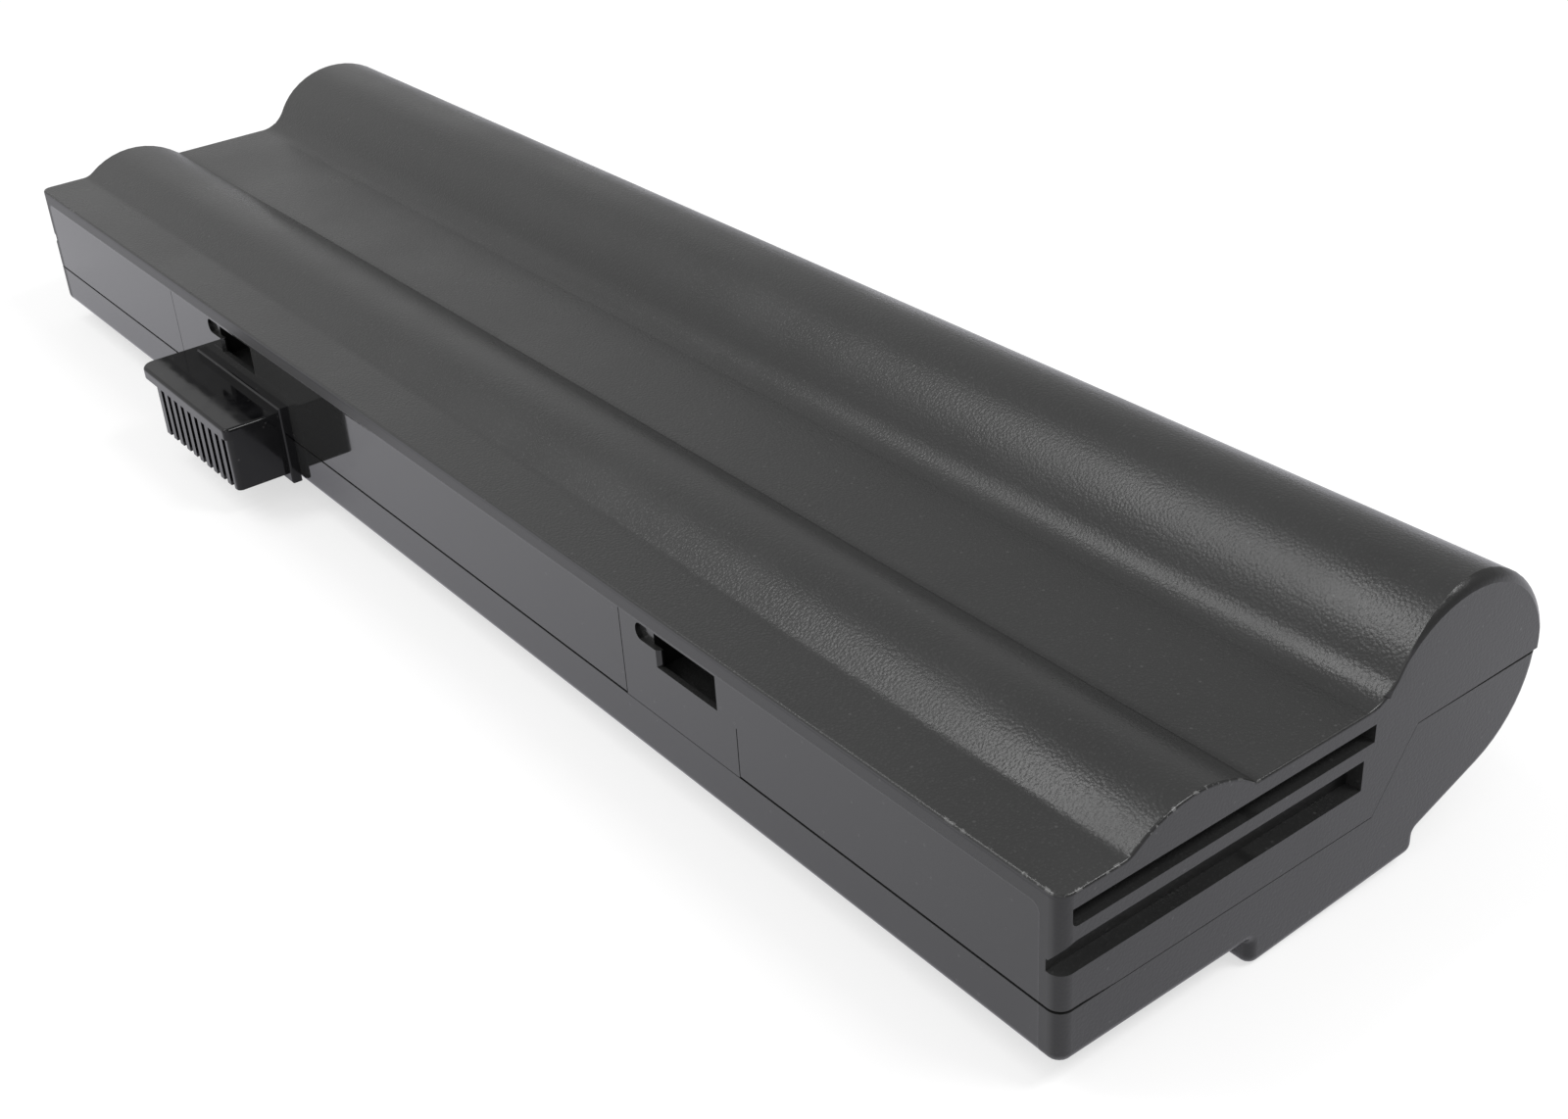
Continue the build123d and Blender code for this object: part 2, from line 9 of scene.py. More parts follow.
import bpy
from bpy.props import FloatProperty, FloatVectorProperty, PointerProperty
from mathutils import Euler, Matrix, Quaternion, Vector


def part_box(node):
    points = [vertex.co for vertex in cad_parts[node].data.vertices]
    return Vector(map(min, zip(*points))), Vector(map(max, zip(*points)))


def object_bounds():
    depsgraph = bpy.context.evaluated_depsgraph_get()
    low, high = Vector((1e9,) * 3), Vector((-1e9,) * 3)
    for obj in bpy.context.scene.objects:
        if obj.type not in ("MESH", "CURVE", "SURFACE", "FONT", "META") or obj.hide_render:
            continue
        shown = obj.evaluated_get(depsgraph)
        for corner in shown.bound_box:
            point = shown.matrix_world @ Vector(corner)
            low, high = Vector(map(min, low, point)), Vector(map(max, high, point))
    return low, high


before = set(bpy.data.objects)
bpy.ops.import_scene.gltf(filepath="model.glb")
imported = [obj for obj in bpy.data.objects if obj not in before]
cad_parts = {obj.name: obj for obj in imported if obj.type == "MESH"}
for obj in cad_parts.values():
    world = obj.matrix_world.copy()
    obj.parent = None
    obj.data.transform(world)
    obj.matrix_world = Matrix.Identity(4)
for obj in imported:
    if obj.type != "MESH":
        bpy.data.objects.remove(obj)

bl_info = {
    "name": "Laptop Battery Finishes",
    "version": (1, 0, 0),
    "blender": (4, 5, 0),
    "location": "View3D > Sidebar > Battery",
    "description": "Gives a laptop battery pack its finishes and sets it in a plain studio",
    "category": "Material",
}

CAD_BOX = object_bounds()
CASE_LOW, CASE_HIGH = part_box("upper_case")

# Places on the case, in metres: the depth of its front wall, the height of that wall's upper edge
# and the depth of the crease behind the front crown.
FRONT_WALL = CASE_LOW.y
FRONT_TOP = 0.0258
CREASE = -0.0054

# The way to the window, the cosines of the angles where its soft edge begins and ends, and the
# depths of the ways between which the room's light changes from rear to front.
WINDOW_WAY = (-0.86, 0.37, 0.35)
WINDOW_EDGE, WINDOW_FULL = 0.965, 0.992
SKY_REAR, SKY_FRONT = 0.55, -0.35

FLOOR_REACH = 3.0
DUST_GREY = (0.3, 0.3, 0.3, 1.0)

ROWS = "abc"
COLUMNS = range(1, 5)
CELLS = [f"cell_{row}{column}" for row in ROWS for column in COLUMNS]
CONTACTS = [f"contact_{number:02d}" for number in range(1, 11)]
STRIPS = ["strip_link_1", "strip_link_2", "strip_link_3", "strip_negative", "strip_positive"]
CARDS = ["end_paper_left", "end_paper_right", "board_paper"]
CHIPS = ["controller_chip", "switch_transistor_1", "switch_transistor_2"]
PADS = [f"foam_pad_{row}" for row in ROWS]


def colour_property(name, description, default):
    """Colour that a user may change, as linear red, green and blue."""
    return FloatVectorProperty(
        name=name, description=description, default=default, subtype="COLOR", size=3, min=0, max=1
    )


def length_property(name, description, default):
    """Length in metres that a user may change."""
    return FloatProperty(
        name=name, description=description, default=default, unit="LENGTH", min=0, precision=6
    )


def share_property(name, description, default):
    """Share from 0 to 1 that a user may change."""
    return FloatProperty(
        name=name, description=description, default=default, subtype="FACTOR", min=0, max=1
    )


def power_property(name, description, default):
    """Power of a lamp, in watts."""
    return FloatProperty(name=name, description=description, default=default, unit="POWER", min=0)


def angle_property(name, description, default):
    """Angle that a user may change, given in degrees."""
    return FloatProperty(
        name=name,
        description=description,
        default=radians(default),
        unit="ROTATION",
        subtype="ANGLE",
    )


def place_property(name, description, default):
    """Place in the part's frame, in metres."""
    return FloatVectorProperty(
        name=name,
        description=description,
        default=default,
        subtype="TRANSLATION",
        unit="LENGTH",
        size=3,
    )


class CaseFinish(bpy.types.PropertyGroup):
    """Colours and textures of the moulded case and its connector."""

    charcoal: colour_property("Charcoal", "Colour of the case", (0.0229, 0.0231, 0.0229))
    worn: colour_property(
        "Worn Edge", "Colour of the plastic where its edges are rubbed", (0.12, 0.12, 0.12)
    )
    grain_size: length_property("Grain Size", "Spacing of the spark-eroded grain", 0.0004)
    grain_depth: length_property("Grain Depth", "Depth of the spark-eroded grain", 0.00006)
    grain_roughness: share_property("Grain Roughness", "Roughness of the grained top", 0.3)
    lip_roughness: share_property(
        "Lip Roughness", "Roughness of the dull band above the front wall", 0.42
    )
    end_roughness: share_property("End Roughness", "Roughness of the satin ends and rims", 0.34)
    # Painted shade: the ends' colour is this share of the case's, made darker for how the light
    # falls on them.
    end_painted_shade: share_property(
        "End Shade", "Colour of the satin ends as a share of the case's", 0.25
    )
    panel_roughness: share_property("Panel Roughness", "Roughness of the glossy front wall", 0.07)
    panel_half: length_property("Panel Half", "Half length of the glossy front wall", 0.1321)
    panel_top: length_property(
        "Panel Top", "Height of the glossy front wall above the ground", 0.0235
    )
    panel_round: length_property(
        "Panel Round", "Rounding of the glossy wall's upper corners", 0.00125
    )
    connector_black: colour_property(
        "Connector Black", "Colour of the connector", (0.0045, 0.0045, 0.005)
    )
    connector_roughness: share_property("Connector Roughness", "Roughness of the connector", 0.12)
    plating: colour_property("Plating", "Colour of the plated contacts", (0.83, 0.62, 0.28))


class InsideFinish(bpy.types.PropertyGroup):
    """Colours of the pieces inside the case."""

    sleeve: colour_property("Sleeve", "Colour of the cells' shrink sleeves", (0.05, 0.2, 0.13))
    can_steel: colour_property("Can Steel", "Colour of the cells' bare ends", (0.6, 0.59, 0.57))
    nickel: colour_property("Nickel", "Colour of the welded strips", (0.62, 0.6, 0.55))
    lacquer: colour_property("Lacquer", "Colour of the control board", (0.015, 0.12, 0.05))
    tracks: colour_property(
        "Tracks", "Colour of the board's tracks under the lacquer", (0.05, 0.22, 0.08)
    )
    package: colour_property("Package", "Colour of the moulded chips", (0.018, 0.018, 0.02))
    fuse: colour_property("Fuse", "Colour of the fuse body", (0.7, 0.68, 0.62))
    resistor: colour_property("Resistor", "Colour of the sense resistor", (0.05, 0.05, 0.055))
    bead: colour_property("Bead", "Colour of the thermistor's resin", (0.02, 0.02, 0.025))
    card: colour_property("Card", "Colour of the insulating card", (0.56, 0.52, 0.4))
    foam: colour_property("Foam", "Colour of the foam pads", (0.03, 0.03, 0.033))


class StageSetup(bpy.types.PropertyGroup):
    """Camera, lamps and floor."""

    camera_place: place_property(
        "Camera Place", "Where the camera stands", (0.23941, -0.13767, 0.15202)
    )
    azimuth: angle_property("Azimuth", "Turn of the camera round the pack", 54.161)
    elevation: angle_property("Elevation", "How steeply the camera looks down", 30.769)
    roll: angle_property("Roll", "Roll of the camera about its own axis", -3.747)
    lens: FloatProperty(
        name="Lens", description="Focal length", default=46.42, unit="CAMERA", min=1
    )
    key_power: power_property("Key Power", "Power of the narrow lamp above the left end", 2.3)
    fill_power: power_property("Fill Power", "Power of the lamp beside the camera", 1.2)
    back_power: power_property("Back Power", "Power of the lamp behind the right end", 3.5)
    rear_light: share_property(
        "Rear Light", "Strength of the soft light from behind the pack", 0.45
    )
    front_light: share_property(
        "Front Light", "Strength of the soft light from before the pack", 0.78
    )
    window_light: share_property(
        "Window Light", "Strength that a window at the left rear adds", 0.2
    )
    floor_colour: colour_property("Floor Colour", "Colour of the floor", (0.42, 0.42, 0.42))
    floor_glow: share_property("Floor Glow", "White that the floor shows to the camera", 0.62)
    mirror_glow: colour_property(
        "Mirror Glow", "Light that the floor shows in reflections", (0.55, 0.545, 0.6)
    )


def add_node(tree, kind, inputs=None, **settings):
    """New node with its settings, and with its inputs set to values or linked from sockets."""
    node = tree.nodes.new(kind)
    for name, value in settings.items():
        setattr(node, name, value)
    for name, value in (inputs or {}).items():
        if isinstance(value, bpy.types.NodeSocket):
            tree.links.new(value, node.inputs[name])
        else:
            node.inputs[name].default_value = value
    return node


def calculate(tree, operation, *terms):
    """Result of a Math node on sockets or numbers."""
    return add_node(tree, "ShaderNodeMath", dict(enumerate(terms)), operation=operation).outputs[0]


def ramp(tree, value, start, end, low=0.0, high=1.0):
    """Smooth change from low, where the value is at start, to high, where it is at end."""
    inputs = {"Value": value, "From Min": start, "From Max": end, "To Min": low, "To Max": high}
    node = add_node(tree, "ShaderNodeMapRange", inputs, interpolation_type="SMOOTHSTEP")
    return node.outputs["Result"]


def blend(tree, share, first, second):
    """Number between first, at a share of 0, and second, at a share of 1."""
    inputs = {"Factor": share, "A": first, "B": second}
    return add_node(tree, "ShaderNodeMix", inputs).outputs["Result"]


def tint(tree, share, first, second):
    """Colour between first, at a share of 0, and second, at a share of 1."""
    inputs = {0: share, 6: first, 7: second}
    return add_node(tree, "ShaderNodeMix", inputs, data_type="RGBA").outputs[2]


def opaque(colour, factor=1.0):
    """Colour with alpha, made darker or lighter by a factor."""
    return (*(channel * factor for channel in colour), 1.0)


def split(tree, vector):
    """Outputs X, Y and Z of a vector."""
    return add_node(tree, "ShaderNodeSeparateXYZ", {"Vector": vector}).outputs


def object_place(tree):
    """Place on the piece, in metres."""
    return add_node(tree, "ShaderNodeTexCoord").outputs["Object"]


def stretched(tree, place, scale):
    """Place scaled along each axis, which draws a texture out where the scale is small."""
    return add_node(tree, "ShaderNodeMapping", {"Vector": place, "Scale": scale}).outputs["Vector"]


def noise(tree, place, scale, detail=2.0, roughness=0.5):
    """Noise between 0 and 1 at a place."""
    inputs = {"Vector": place, "Scale": scale, "Detail": detail, "Roughness": roughness}
    return add_node(tree, "ShaderNodeTexNoise", inputs).outputs["Fac"]


def spots(tree, place, scale):
    """Distance from the nearest of many scattered points, as a share of their spacing."""
    inputs = {"Vector": place, "Scale": scale}
    return add_node(tree, "ShaderNodeTexVoronoi", inputs).outputs["Distance"]


def bump(tree, height, distance):
    """Normal of a surface raised by a height between 0 and 1 times the distance."""
    inputs = {"Height": height, "Distance": distance}
    return add_node(tree, "ShaderNodeBump", inputs).outputs["Normal"]


def new_group(name, inputs, outputs):
    """Empty shader group with the named number inputs and outputs, and its two end nodes."""
    tree = bpy.data.node_groups.new(name, "ShaderNodeTree")
    for socket, default in inputs.items():
        entry = tree.interface.new_socket(socket, in_out="INPUT", socket_type="NodeSocketFloat")
        entry.default_value = default
    for socket in outputs:
        tree.interface.new_socket(socket, in_out="OUTPUT", socket_type="NodeSocketFloat")
    return tree, tree.nodes.new("NodeGroupInput"), tree.nodes.new("NodeGroupOutput")


def give(tree, end, **sources):
    """Links sockets into the outputs of a shader group."""
    for name, source in sources.items():
        tree.links.new(source, end.inputs[name])


def place_group(tree, name, build, inputs):
    """Shader group placed in a material with its own values, and built the first time."""
    group = bpy.data.node_groups.get(name) or build(name)
    return add_node(tree, "ShaderNodeGroup", inputs, node_tree=group)


def build_spark_grain(name):
    """Fine pitted grain that spark erosion leaves in a mould, with a mask of painted glints on its
    crests.
    """
    tree, start, end = new_group(name, {"Size": 0.0004}, ("Height", "Glint", "Drift"))
    place = object_place(tree)
    scale = calculate(tree, "DIVIDE", 1.0, start.outputs["Size"])
    pits = noise(tree, place, scale, detail=3.0, roughness=0.6)
    crests = calculate(tree, "SUBTRACT", 1.0, spots(tree, place, scale))
    height = blend(tree, 0.45, pits, crests)
    # Painted highlight: the crests whose colour is made lighter to stand in for glints.
    painted_glint = ramp(tree, height, 0.55, 0.75)
    drift = noise(tree, place, 45.0, detail=4.0)
    give(tree, end, Height=height, Glint=painted_glint, Drift=drift)
    return tree


def build_handling(name):
    """Faint smears and dust that handling leaves on a smooth surface, and a moulded ripple."""
    tree, start, end = new_group(name, {"Spread": 0.02}, ("Smear", "Dust", "Ripple"))
    place = object_place(tree)
    scale = calculate(tree, "DIVIDE", 1.0, start.outputs["Spread"])
    smear = ramp(tree, noise(tree, place, scale, detail=5.0, roughness=0.62), 0.42, 0.72)
    dust = ramp(tree, spots(tree, place, 420.0), 0.1, 0.04)
    ripple = noise(tree, place, 160.0, detail=1.0)
    give(tree, end, Smear=smear, Dust=dust, Ripple=ripple)
    return tree


def build_case_zones(name):
    """Masks of the case's glossy front wall, dull lip, satin ends, worn edges, dark line and
    painted crease shade.
    """
    sizes = {"Half": 0.13, "Top": 0.02, "Round": 0.001}
    tree, start, end = new_group(name, sizes, ("Panel", "Lip", "End", "Line", "Wear"))
    geometry = add_node(tree, "ShaderNodeNewGeometry")
    facing = split(tree, geometry.outputs["Normal"])
    place = split(tree, geometry.outputs["Position"])
    across = calculate(tree, "ABSOLUTE", place["X"])
    height = place["Z"]
    forwards = ramp(tree, facing["Y"], -0.55, -0.85)
    at_front = ramp(tree, place["Y"], FRONT_WALL + 0.0009, FRONT_WALL + 0.0006)
    front = calculate(tree, "MULTIPLY", forwards, at_front)
    upwards = ramp(tree, facing["Z"], 0.15, 0.3)
    sideways = calculate(tree, "ABSOLUTE", facing["X"])

    border = 0.0002
    beyond = []
    for value, limit in ((across, "Half"), (height, "Top")):
        inner = calculate(tree, "SUBTRACT", start.outputs[limit], start.outputs["Round"])
        beyond.append(calculate(tree, "MAXIMUM", calculate(tree, "SUBTRACT", value, inner), 0.0))
    squares = [calculate(tree, "POWER", excess, 2.0) for excess in beyond]
    corner = calculate(tree, "SQRT", calculate(tree, "ADD", *squares))
    outside = calculate(tree, "SUBTRACT", corner, start.outputs["Round"])
    within = ramp(tree, outside, border, -border)
    around = calculate(tree, "SUBTRACT", 1.0, within)

    # A thin dark line just below the front's upper edge.
    line_drop, line_half = 0.00055, 0.00014
    # Painted shade: a soft dark band along the crease behind the front crown, on faces that look
    # up.
    crease_half, crease_shade_share = 0.0014, 0.6
    from_top = calculate(tree, "SUBTRACT", height, FRONT_TOP)
    line = calculate(tree, "COMPARE", from_top, -line_drop, line_half)
    from_crease = calculate(tree, "ABSOLUTE", calculate(tree, "SUBTRACT", place["Y"], CREASE))
    painted_crease_shade = ramp(tree, from_crease, crease_half, 0.0, 0.0, crease_shade_share)
    crease = calculate(tree, "MULTIPLY", painted_crease_shade, upwards)

    edge_reach, speck_scale, corner_gain = 0.0004, 900.0, 0.08
    front_edge = calculate(tree, "COMPARE", place["Y"], FRONT_WALL, edge_reach)
    end_edge = ramp(tree, across, CASE_HIGH.x - edge_reach, CASE_HIGH.x - 0.0003)
    edges = calculate(tree, "MAXIMUM", front_edge, calculate(tree, "MULTIPLY", end_edge, upwards))
    outline = calculate(tree, "MULTIPLY", edges, ramp(tree, from_top, -0.0003, -0.0001))
    near_corner = ramp(tree, across, 0.09, 0.134)
    near_front = ramp(tree, place["Y"], -0.02, 0.005, 1.0, 0.0)
    share = calculate(tree, "MULTIPLY", near_corner, near_front)
    specks = noise(tree, geometry.outputs["Position"], speck_scale, detail=3.0, roughness=0.6)
    gained = calculate(tree, "ADD", specks, calculate(tree, "MULTIPLY", share, corner_gain))
    rubbed = ramp(tree, gained, 0.64, 0.7)

    give(
        tree,
        end,
        Panel=calculate(tree, "MULTIPLY", front, within),
        Lip=calculate(tree, "MULTIPLY", front, around),
        End=ramp(tree, sideways, 0.12, 0.5),
        Line=calculate(tree, "MAXIMUM", calculate(tree, "MULTIPLY", line, front), crease),
        Wear=calculate(tree, "MULTIPLY", calculate(tree, "MULTIPLY", outline, share), rubbed),
    )
    return tree


def new_material(name):
    """Material of that name with an empty Principled shader, and its node tree and shader."""
    material = bpy.data.materials.new(name)
    material.use_nodes = True
    return material, material.node_tree, material.node_tree.nodes["Principled BSDF"]


def feed(tree, shader, **sources):
    """Links sockets into the shader's inputs, named with underscores for spaces."""
    for name, source in sources.items():
        tree.links.new(source, shader.inputs[name.replace("_", " ")])


def spark_grain(tree, size):
    """Outputs of the spark-eroded grain at that spacing."""
    return place_group(tree, "spark_grain", build_spark_grain, {"Size": size}).outputs


def handling_marks(tree, spread):
    """Outputs of the marks of handling, with smears of that size."""
    return place_group(tree, "handling", build_handling, {"Spread": spread}).outputs


def dusted(tree, dust, share, colour):
    """Colour with a share of grey dust over it."""
    return tint(tree, calculate(tree, "MULTIPLY", dust, share), colour, DUST_GREY)


def case_plastic(name, finish):
    """Charcoal plastic: grained on top and below, satin at the ends, glossy on the front wall;
    painted glints on the grain, painted shade on the ends and in the crease.
    """
    material, tree, shader = new_material(name)
    limits = {"Half": finish.panel_half, "Top": finish.panel_top, "Round": finish.panel_round}
    zones = place_group(tree, "case_zones", build_case_zones, limits).outputs
    grain = spark_grain(tree, finish.grain_size)
    marks = handling_marks(tree, 0.03)
    panel, lip, end = zones["Panel"], zones["Lip"], zones["End"]
    smooth = calculate(tree, "MAXIMUM", calculate(tree, "MAXIMUM", panel, lip), end)
    coarse = calculate(tree, "SUBTRACT", 1.0, smooth)

    charcoal = finish.charcoal
    shade = tint(tree, grain["Drift"], opaque(charcoal, 0.8), opaque(charcoal, 1.2))
    # Painted glints: on the grained faces only, the charcoal is lightened on the grain's crests as
    # painted highlights.
    painted_glint = calculate(tree, "MULTIPLY", grain["Glint"], coarse)
    painted_glint_colour = tint(tree, calculate(tree, "MULTIPLY", painted_glint, 0.5), shade, opaque(charcoal, 2.2))
    # Painted shade: faces that look sideways at the ends are coloured darker than the rest of the
    # case.
    painted_end_shade_colour = tint(tree, end, painted_glint_colour, opaque(charcoal, finish.end_painted_shade))
    # The dark line below the front edge, and painted shade in the crease behind the front crown.
    lined_and_crease_shaded = tint(tree, zones["Line"], painted_end_shade_colour, opaque(charcoal, 0.3))
    rubbed = tint(tree, zones["Wear"], lined_and_crease_shaded, opaque(finish.worn))

    rough, satin, gloss = finish.grain_roughness, finish.end_roughness, finish.panel_roughness
    top = ramp(tree, grain["Drift"], 0.3, 0.7, rough - 0.04, rough + 0.04)
    sides = ramp(tree, marks["Smear"], 0.0, 1.0, satin - 0.04, satin + 0.05)
    wall = ramp(tree, marks["Smear"], 0.0, 1.0, gloss - 0.02, gloss + 0.03)
    dull = blend(tree, lip, blend(tree, end, top, sides), finish.lip_roughness)

    depth = calculate(tree, "MAXIMUM", coarse, calculate(tree, "MULTIPLY", end, 0.4))
    relief = calculate(tree, "MULTIPLY", grain["Height"], depth)
    feed(
        tree,
        shader,
        Base_Color=dusted(tree, marks["Dust"], 0.1, rubbed),
        Roughness=blend(tree, panel, dull, wall),
        Normal=bump(tree, relief, finish.grain_depth),
    )
    return material


def connector_plastic(finish):
    """Smooth black plastic with faint smears and the ripple of its moulding."""
    material, tree, shader = new_material("connector_plastic")
    marks = handling_marks(tree, 0.008)
    black, rough = finish.connector_black, finish.connector_roughness
    shade = tint(tree, marks["Smear"], opaque(black), opaque(black, 1.6))
    shader.inputs["Specular IOR Level"].default_value = 0.3
    feed(
        tree,
        shader,
        Base_Color=dusted(tree, marks["Dust"], 0.12, shade),
        Roughness=ramp(tree, marks["Smear"], 0.0, 1.0, rough - 0.03, rough + 0.08),
        Normal=bump(tree, marks["Ripple"], 0.00004),
    )
    return material


def metal(name, colour, roughness, stretch):
    """Rolled or plated metal with fine lines along one way and a slight change of colour."""
    material, tree, shader = new_material(name)
    marks = handling_marks(tree, 0.006)
    lines = noise(tree, stretched(tree, object_place(tree), stretch), 900.0, detail=3.0)
    shader.inputs["Metallic"].default_value = 1.0
    feed(
        tree,
        shader,
        Base_Color=tint(tree, marks["Smear"], opaque(colour), opaque(colour, 0.82)),
        Roughness=ramp(tree, lines, 0.3, 0.7, roughness - 0.07, roughness + 0.07),
        Normal=bump(tree, lines, 0.000004),
    )
    return material


def cell_finish(finish):
    """Shrink sleeve round the side of a cell, with the steel can bare at its ends."""
    material, tree, shader = new_material("cell_sleeve")
    marks = handling_marks(tree, 0.012)
    facing = split(tree, add_node(tree, "ShaderNodeNewGeometry").outputs["Normal"])
    bare = ramp(tree, calculate(tree, "ABSOLUTE", facing["X"]), 0.8, 0.9)
    sleeve = tint(tree, marks["Smear"], opaque(finish.sleeve), opaque(finish.sleeve, 1.25))
    steel = tint(tree, marks["Smear"], opaque(finish.can_steel), opaque(finish.can_steel, 0.85))
    feed(
        tree,
        shader,
        Base_Color=tint(tree, bare, sleeve, steel),
        Metallic=bare,
        Roughness=ramp(tree, marks["Smear"], 0.0, 1.0, 0.28, 0.4),
        Normal=bump(tree, marks["Ripple"], 0.00003),
    )
    return material


def board_lacquer(finish):
    """Green lacquer over copper tracks that run along the board."""
    material, tree, shader = new_material("board_lacquer")
    place = object_place(tree)
    bands = noise(tree, stretched(tree, place, (0.06, 1.0, 1.0)), 900.0, detail=1.0)
    tracks = ramp(tree, bands, 0.49, 0.52)
    weave = noise(tree, place, 2600.0, detail=2.0)
    feed(
        tree,
        shader,
        Base_Color=tint(tree, tracks, opaque(finish.lacquer), opaque(finish.tracks)),
        Roughness=ramp(tree, weave, 0.3, 0.7, 0.28, 0.42),
        Normal=bump(tree, blend(tree, 0.2, tracks, weave), 0.00003),
    )
    return material


def moulded(name, colour, roughness, grain_size, grain_depth):
    """Matt moulded, pressed or cast surface with a fine grain of its own."""
    material, tree, shader = new_material(name)
    grain = spark_grain(tree, grain_size)
    feed(
        tree,
        shader,
        Base_Color=tint(tree, grain["Height"], opaque(colour, 0.8), opaque(colour, 1.2)),
        Roughness=ramp(tree, grain["Drift"], 0.3, 0.7, roughness - 0.05, roughness + 0.05),
        Normal=bump(tree, grain["Height"], grain_depth),
    )
    return material


def dress(names, material):
    """Gives the named pieces that material."""
    for name in names:
        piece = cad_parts[name]
        if not piece.material_slots:
            raise RuntimeError(f"{name} has no material slot")
        for slot in piece.material_slots:
            slot.material = material


class FinishCase(bpy.types.Operator):
    """Give both halves of the case their charcoal plastic"""

    bl_idname = "battery.finish_case"
    bl_label = "Finish Case"

    def execute(self, context):
        finish = context.scene.battery_case
        dress(["upper_case"], case_plastic("upper_case_plastic", finish))
        dress(["lower_case"], case_plastic("lower_case_plastic", finish))
        return {"FINISHED"}


class FinishConnector(bpy.types.Operator):
    """Give the connector its black plastic and its contacts their plating"""

    bl_idname = "battery.finish_connector"
    bl_label = "Finish Connector"

    def execute(self, context):
        finish = context.scene.battery_case
        plating = metal("contact_plating", finish.plating, roughness=0.24, stretch=(1.0, 0.1, 1.0))
        dress(["connector_housing"], connector_plastic(finish))
        dress(CONTACTS, plating)
        return {"FINISHED"}


class FinishCells(bpy.types.Operator):
    """Give the cells their sleeves and the strips their nickel"""

    bl_idname = "battery.finish_cells"
    bl_label = "Finish Cells"

    def execute(self, context):
        finish = context.scene.battery_inside
        nickel = metal("nickel_strip", finish.nickel, roughness=0.3, stretch=(1.0, 0.08, 1.0))
        dress(CELLS, cell_finish(finish))
        dress(STRIPS, nickel)
        return {"FINISHED"}


class FinishBoard(bpy.types.Operator):
    """Give the control board and the parts on it their finishes"""

    bl_idname = "battery.finish_board"
    bl_label = "Finish Board"

    def execute(self, context):
        finish = context.scene.battery_inside
        dress(["control_board"], board_lacquer(finish))
        for names, label, colour, roughness, grain_size, grain_depth in (
            (CHIPS, "chip_package", finish.package, 0.45, 0.0002, 0.00001),
            (["fuse_link"], "fuse_body", finish.fuse, 0.55, 0.0003, 0.00002),
            (["sense_resistor"], "resistor_body", finish.resistor, 0.4, 0.0003, 0.00001),
            (["thermistor"], "bead_resin", finish.bead, 0.2, 0.0008, 0.00002),
        ):
            dress(names, moulded(label, colour, roughness, grain_size, grain_depth))
        return {"FINISHED"}


class FinishPadding(bpy.types.Operator):
    """Give the insulating cards and the foam pads their finishes"""

    bl_idname = "battery.finish_padding"
    bl_label = "Finish Padding"

    def execute(self, context):
        finish = context.scene.battery_inside
        for names, label, colour, roughness, grain_size, grain_depth in (
            (CARDS, "insulating_card", finish.card, 0.7, 0.0006, 0.00002),
            (PADS, "pad_foam", finish.foam, 0.85, 0.0009, 0.0002),
        ):
            dress(names, moulded(label, colour, roughness, grain_size, grain_depth))
        return {"FINISHED"}


def floor_paint(setup):
    """Pale floor that keeps the pack's shadow and shows as white where it is open."""
    material = bpy.data.materials.new("floor_paint")
    material.use_nodes = True
    tree = material.node_tree
    tree.nodes.clear()
    path = add_node(tree, "ShaderNodeLightPath").outputs
    seen = calculate(tree, "MULTIPLY", path["Is Camera Ray"], setup.floor_glow)
    mirrored = calculate(tree, "MAXIMUM", path["Is Glossy Ray"], path["Is Transmission Ray"])
    paint = add_node(tree, "ShaderNodeBsdfDiffuse", {"Color": opaque(setup.floor_colour)})
    white = add_node(tree, "ShaderNodeEmission", {"Strength": seen})
    shine = {"Color": opaque(setup.mirror_glow), "Strength": mirrored}
    glow = add_node(tree, "ShaderNodeEmission", shine)
    both = add_node(tree, "ShaderNodeAddShader", {0: white.outputs[0], 1: glow.outputs[0]})
    floor = add_node(tree, "ShaderNodeAddShader", {0: paint.outputs[0], 1: both.outputs[0]})
    add_node(tree, "ShaderNodeOutputMaterial", {"Surface": floor.outputs[0]})
    return material


def build_floor(setup, reach):
    """Level floor that the pack stands on."""
    mesh = bpy.data.meshes.new("floor")
    corners = [(-reach, -reach, 0), (reach, -reach, 0), (reach, reach, 0), (-reach, reach, 0)]
    mesh.from_pydata(corners, [], [(0, 1, 2, 3)])
    mesh.materials.append(floor_paint(setup))
    floor = bpy.data.objects.new("floor", mesh)
    bpy.context.scene.collection.objects.link(floor)


def build_sky(setup):
    """Soft light, stronger from the front and a window, that the camera sees as white."""
    world = bpy.data.worlds.new("studio")
    world.use_nodes = True
    tree = world.node_tree
    way = object_place(tree)
    depth = split(tree, way)["Y"]
    room = ramp(tree, depth, SKY_REAR, SKY_FRONT, setup.rear_light, setup.front_light)
    ways = {0: way, 1: WINDOW_WAY}
    nearness = add_node(tree, "ShaderNodeVectorMath", ways, operation="DOT_PRODUCT")
    window = ramp(
        tree, nearness.outputs["Value"], WINDOW_EDGE, WINDOW_FULL, 0.0, setup.window_light
    )
    seen = add_node(tree, "ShaderNodeLightPath").outputs["Is Camera Ray"]
    strength = blend(tree, seen, calculate(tree, "ADD", room, window), 1.0)
    background = tree.nodes["Background"]
    background.inputs["Color"].default_value = (1, 1, 1, 1)
    tree.links.new(strength, background.inputs["Strength"])
    bpy.context.scene.world = world


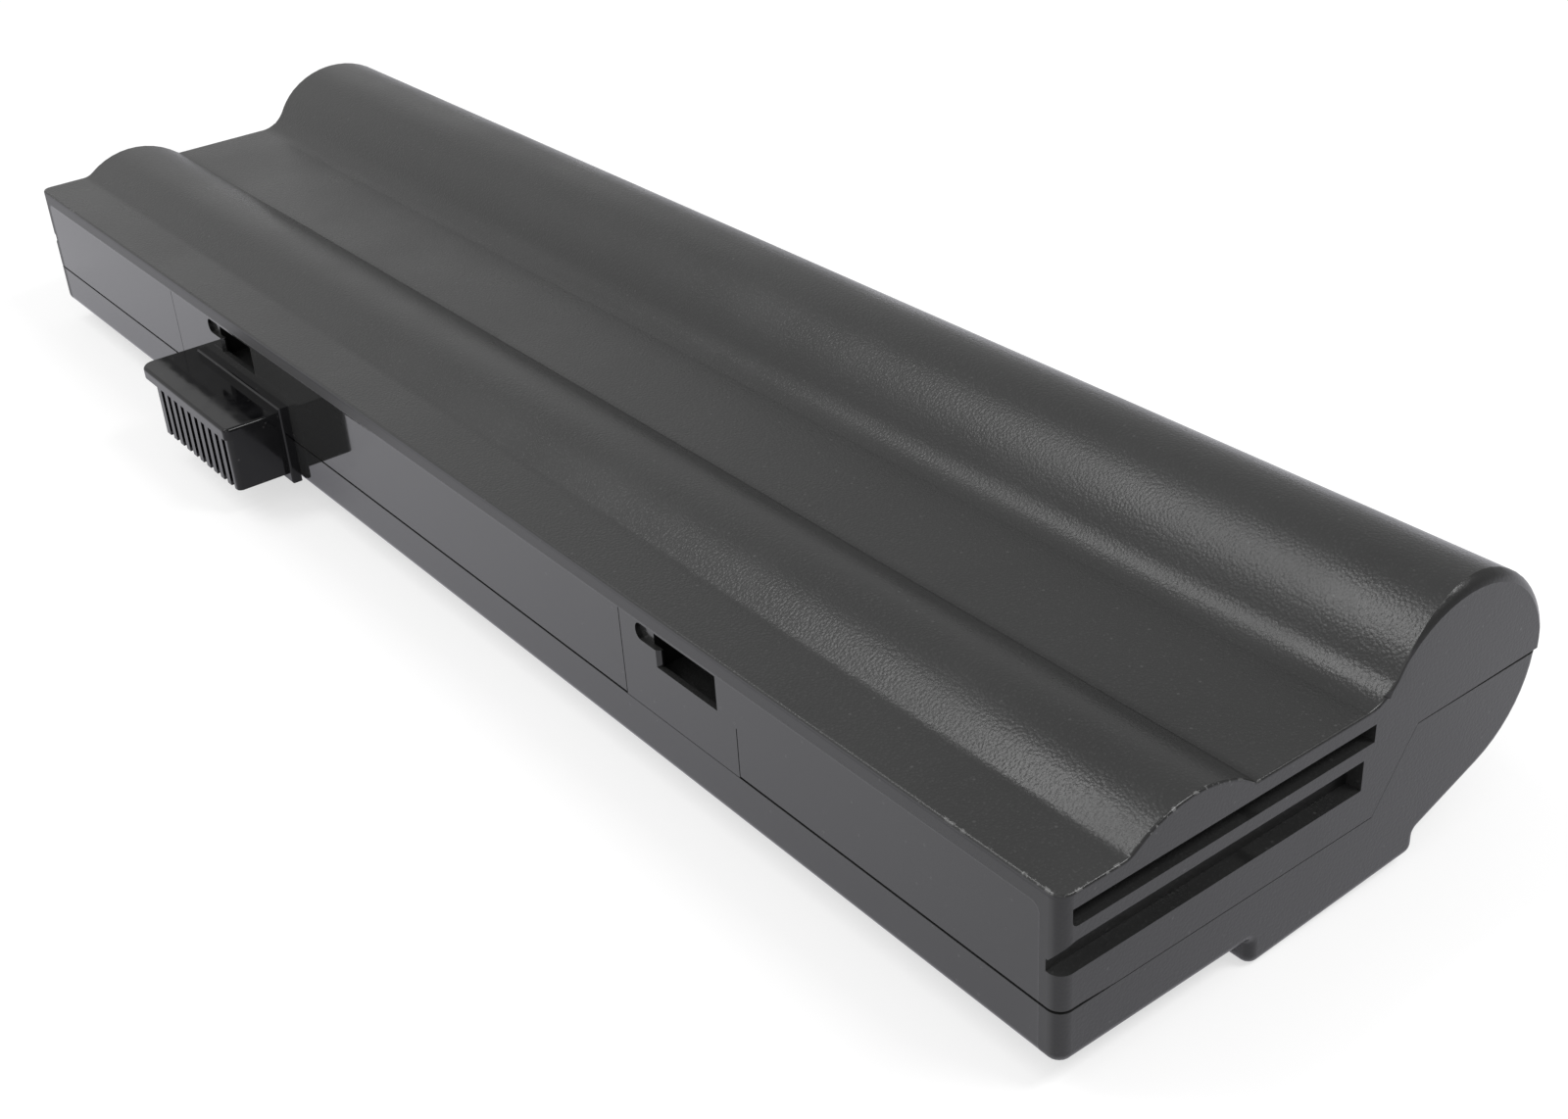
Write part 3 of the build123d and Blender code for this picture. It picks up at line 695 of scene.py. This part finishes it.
def build_lamp(name, place, size, power):
    """Soft lamp that shines at the pack's middle, with its second side along the pack's depth."""
    lamp = bpy.data.lights.new(name, "AREA")
    lamp.shape = "RECTANGLE"
    lamp.size, lamp.size_y = size
    lamp.energy = power
    holder = bpy.data.objects.new(name, lamp)
    middle = (CAD_BOX[0] + CAD_BOX[1]) / 2
    away = (Vector(place) - middle).normalized()
    side = Vector((0, 1, 0)).cross(away).normalized()
    holder.location = place
    holder.rotation_euler = Matrix((side, away.cross(side), away)).transposed().to_euler()
    bpy.context.scene.collection.objects.link(holder)


def build_camera(setup):
    """Camera above the right front of the pack."""
    data = bpy.data.cameras.new("camera")
    data.lens = setup.lens
    data.clip_start = 0.01
    camera = bpy.data.objects.new("camera", data)
    camera.location = setup.camera_place
    camera.rotation_mode = "QUATERNION"
    aim = Euler((radians(90) - setup.elevation, 0, setup.azimuth)).to_quaternion()
    camera.rotation_quaternion = aim @ Quaternion((0, 0, 1), setup.roll)
    bpy.context.scene.collection.objects.link(camera)
    bpy.context.scene.camera = camera


class BuildStage(bpy.types.Operator):
    """Set up the floor, the light and the camera"""

    bl_idname = "battery.build_stage"
    bl_label = "Build Stage"

    def execute(self, context):
        setup = context.scene.battery_stage
        context.scene.view_settings.view_transform = "Standard"
        build_floor(setup, FLOOR_REACH)
        build_sky(setup)
        for name, place, size, power in (
            ("key_lamp", (-0.38, -0.35, 0.81), (0.22, 0.64), setup.key_power),
            ("fill_lamp", (0.6, -0.75, 0.5), (0.6, 0.6), setup.fill_power),
            ("back_lamp", (0.51, 0.33, 0.76), (0.22, 0.4), setup.back_power),
        ):
            build_lamp(name, place, size, power)
        build_camera(setup)
        return {"FINISHED"}


class BatteryPanel(bpy.types.Panel):
    """Finishes and stage of the battery pack"""

    bl_idname = "BATTERY_PT_finishes"
    bl_label = "Battery Finishes"
    bl_space_type = "VIEW_3D"
    bl_region_type = "UI"
    bl_category = "Battery"

    def draw(self, context):
        for setting in SETTINGS:
            group = getattr(context.scene, setting)
            column = self.layout.column()
            for name in group.__annotations__:
                column.prop(group, name)
        for operator in OPERATORS:
            self.layout.operator(operator.bl_idname)


SETTINGS = {"battery_case": CaseFinish, "battery_inside": InsideFinish, "battery_stage": StageSetup}
OPERATORS = (FinishCase, FinishConnector, FinishCells, FinishBoard, FinishPadding, BuildStage)
CLASSES = (*SETTINGS.values(), *OPERATORS, BatteryPanel)


def register():
    """Register the settings, the operators and the panel."""
    for item in CLASSES:
        bpy.utils.register_class(item)
    for name, group in SETTINGS.items():
        setattr(bpy.types.Scene, name, PointerProperty(type=group))


def unregister():
    """Take the settings, the operators and the panel away again."""
    for name in SETTINGS:
        delattr(bpy.types.Scene, name)
    for item in reversed(CLASSES):
        bpy.utils.unregister_class(item)


def main():
    """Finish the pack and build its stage."""
    register()
    bpy.ops.battery.finish_case()
    bpy.ops.battery.finish_connector()
    bpy.ops.battery.finish_cells()
    bpy.ops.battery.finish_board()
    bpy.ops.battery.finish_padding()
    bpy.ops.battery.build_stage()


if __name__ == "__main__":
    main()
